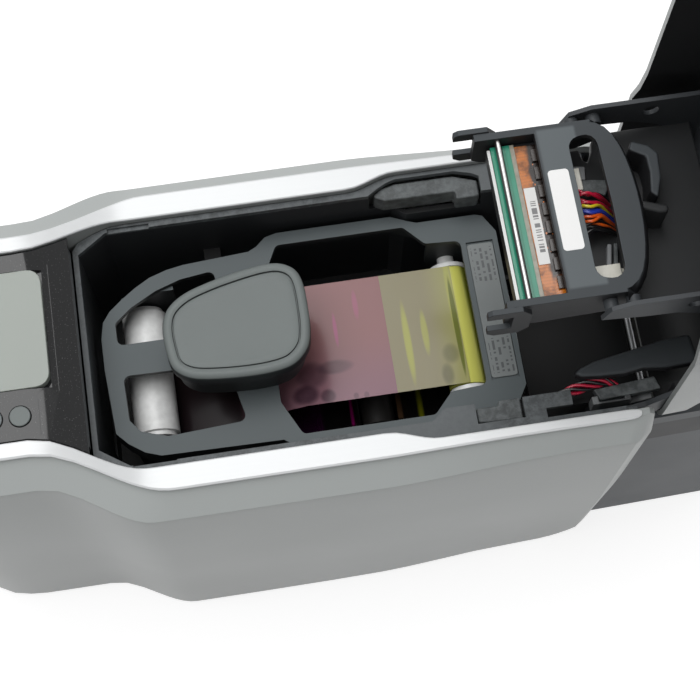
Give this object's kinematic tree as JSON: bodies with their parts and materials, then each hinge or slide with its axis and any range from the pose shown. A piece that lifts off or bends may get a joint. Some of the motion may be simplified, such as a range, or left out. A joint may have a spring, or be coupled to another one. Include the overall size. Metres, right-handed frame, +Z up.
{
  "type": "id card printer",
  "caption": "Desktop printer for plastic ID cards with a hinged lid that carries the print head, a lift-out ribbon cartridge, card hopper, output bin, rollers and panel buttons.",
  "frame": {"origin": "centre of the base on the table, below the middle of the overall length", "axes": "+X to the rear of the printer, +Y to its far side, +Z up"},
  "size_m": [0.43, 0.1596, 0.416],
  "materials": {
    "black_plastic": "fine texture",
    "bright_trim": "satin silver",
    "cartridge_grey": "satin",
    "ceramic_green": "glazed",
    "chip_black": "smooth",
    "chrome": "polished",
    "connector_cream": "smooth",
    "core_white": "smooth",
    "dark_plastic": "fine texture",
    "film_magenta": "film",
    "film_yellow": "film",
    "flex_amber": "smooth",
    "frame_grey": "fine texture",
    "gloss_black": "polished",
    "head_black": "anodised",
    "label_white": "smooth",
    "mid_grey": "mottled",
    "pad_grey": "satin",
    "roll_yellow": "film",
    "rubber": "smooth",
    "rubber_grey": "smooth",
    "screen_grey": "smooth",
    "silver_grey": "satin",
    "steel": "bright",
    "wire_black": "smooth",
    "wire_blue": "smooth",
    "wire_orange": "smooth",
    "wire_red": "smooth",
    "wire_yellow": "smooth"
  },
  "bodies": {
    "base": {"base_housing": "dark_plastic", "side_panel_near": "silver_grey", "side_panel_far": "silver_grey", "rim_trim_near": "bright_trim", "rim_trim_far": "bright_trim", "inner_tub": "black_plastic", "inner_deck": "dark_plastic", "front_bezel": "gloss_black", "front_fascia": "black_plastic", "screen": "screen_grey", "hopper_frame": "black_plastic", "rear_housing": "dark_plastic", "power_inlet": "black_plastic", "data_sockets": "steel", "feet": "rubber", "screws": "steel", "hinge_pins": "steel", "latch_block_far": "mid_grey", "latch_block_near": "mid_grey", "card_guides": "black_plastic", "card_path_plate": "gloss_black", "rear_bar": "steel", "cable_clip": "mid_grey", "latch_wires_red": "wire_red", "latch_wires_black": "wire_black"},
    "lid": {"lid_shell": "silver_grey", "lid_hinge_arms": "dark_plastic", "head_carrier": "dark_plastic", "head_bracket": "frame_grey", "head_heat_sink": "head_black", "head_board": "ceramic_green", "head_edge_rail": "steel", "head_guard_rod": "chrome", "head_flex": "flex_amber", "head_chips": "chip_black", "head_label": "label_white", "bracket_label": "label_white", "head_connector": "connector_cream", "head_wires_red": "wire_red", "head_wires_yellow": "wire_yellow", "head_wires_blue": "wire_blue", "head_wires_orange": "wire_orange", "head_wires_black": "wire_black"},
    "lid_button": {"lid_button": "pad_grey"},
    "cartridge": {"cartridge_frame": "cartridge_grey", "handle_pad": "pad_grey", "film_magenta": "film_magenta", "film_yellow": "film_yellow", "cartridge_tag": "mid_grey"},
    "supply": {"supply_spool": "core_white", "supply_roll": "roll_yellow"},
    "takeup": {"takeup_core": "core_white"},
    "platen": {"platen_roller": "rubber"},
    "feeder": {"feed_roller": "rubber_grey"},
    "rear_feeder": {"rear_roller": "rubber"},
    "hopper_door": {"hopper_door": "black_plastic"},
    "menu_button": {"menu_button": "pad_grey"},
    "up_button": {"up_button": "pad_grey"},
    "down_button": {"down_button": "pad_grey"},
    "power_button": {"power_button": "pad_grey"}
  },
  "joints": [
    {"name": "lid_hinge", "type": "hinge", "parent": "base", "child": "lid", "pos_m": [0.107, 0, 0.197], "axis": [0, -1, 0], "range_deg": [0, 90], "deforming": ["film_magenta", "film_yellow"]},
    {"name": "lid_button_press", "type": "slide", "parent": "lid", "child": "lid_button", "axis": [-1, 0, 0], "range_m": [0, 0.0012], "stiffness_N_per_m": 400, "springref_m": -0.0005},
    {"name": "cartridge_lift", "type": "slide", "parent": "base", "child": "cartridge", "axis": [0, 0, -1], "range_m": [-0.07, 0]},
    {"name": "supply_spin", "type": "hinge", "parent": "cartridge", "child": "supply", "pos_m": [0.052, 0, 0.1763], "axis": [0, 1, 0], "continuous": true},
    {"name": "takeup_spin", "type": "hinge", "parent": "cartridge", "child": "takeup", "pos_m": [-0.0945, 0, 0.175], "axis": [0, 1, 0], "continuous": true},
    {"name": "platen_spin", "type": "hinge", "parent": "base", "child": "platen", "pos_m": [0.01, 0, 0.1426], "axis": [0, 1, 0], "continuous": true},
    {"name": "feed_spin", "type": "hinge", "parent": "base", "child": "feeder", "pos_m": [-0.07, 0, 0.1426], "axis": [0, 1, 0], "continuous": true},
    {"name": "rear_spin", "type": "hinge", "parent": "base", "child": "rear_feeder", "pos_m": [0.1405, 0, 0.17], "axis": [0, 1, 0], "continuous": true},
    {"name": "hopper_door_hinge", "type": "hinge", "parent": "base", "child": "hopper_door", "pos_m": [-0.211, 0, 0.1492], "axis": [0, -1, 0], "range_deg": [0, 75]},
    {"name": "menu_press", "type": "slide", "parent": "base", "child": "menu_button", "axis": [0, 0, -1], "range_m": [0, 0.0012], "stiffness_N_per_m": 400, "springref_m": -0.0005},
    {"name": "up_press", "type": "slide", "parent": "base", "child": "up_button", "axis": [0, 0, -1], "range_m": [0, 0.0012], "stiffness_N_per_m": 400, "springref_m": -0.0005},
    {"name": "down_press", "type": "slide", "parent": "base", "child": "down_button", "axis": [0, 0, -1], "range_m": [0, 0.0012], "stiffness_N_per_m": 400, "springref_m": -0.0005},
    {"name": "power_press", "type": "slide", "parent": "base", "child": "power_button", "axis": [-1, 0, 0], "range_m": [0, 0.0012], "stiffness_N_per_m": 400, "springref_m": -0.0005}
  ],
  "couplings": [
    {"joint": "feed_spin", "follows": "platen_spin", "ratio": 1},
    {"joint": "supply_spin", "follows": "takeup_spin", "ratio": -1.1667}
  ]
}
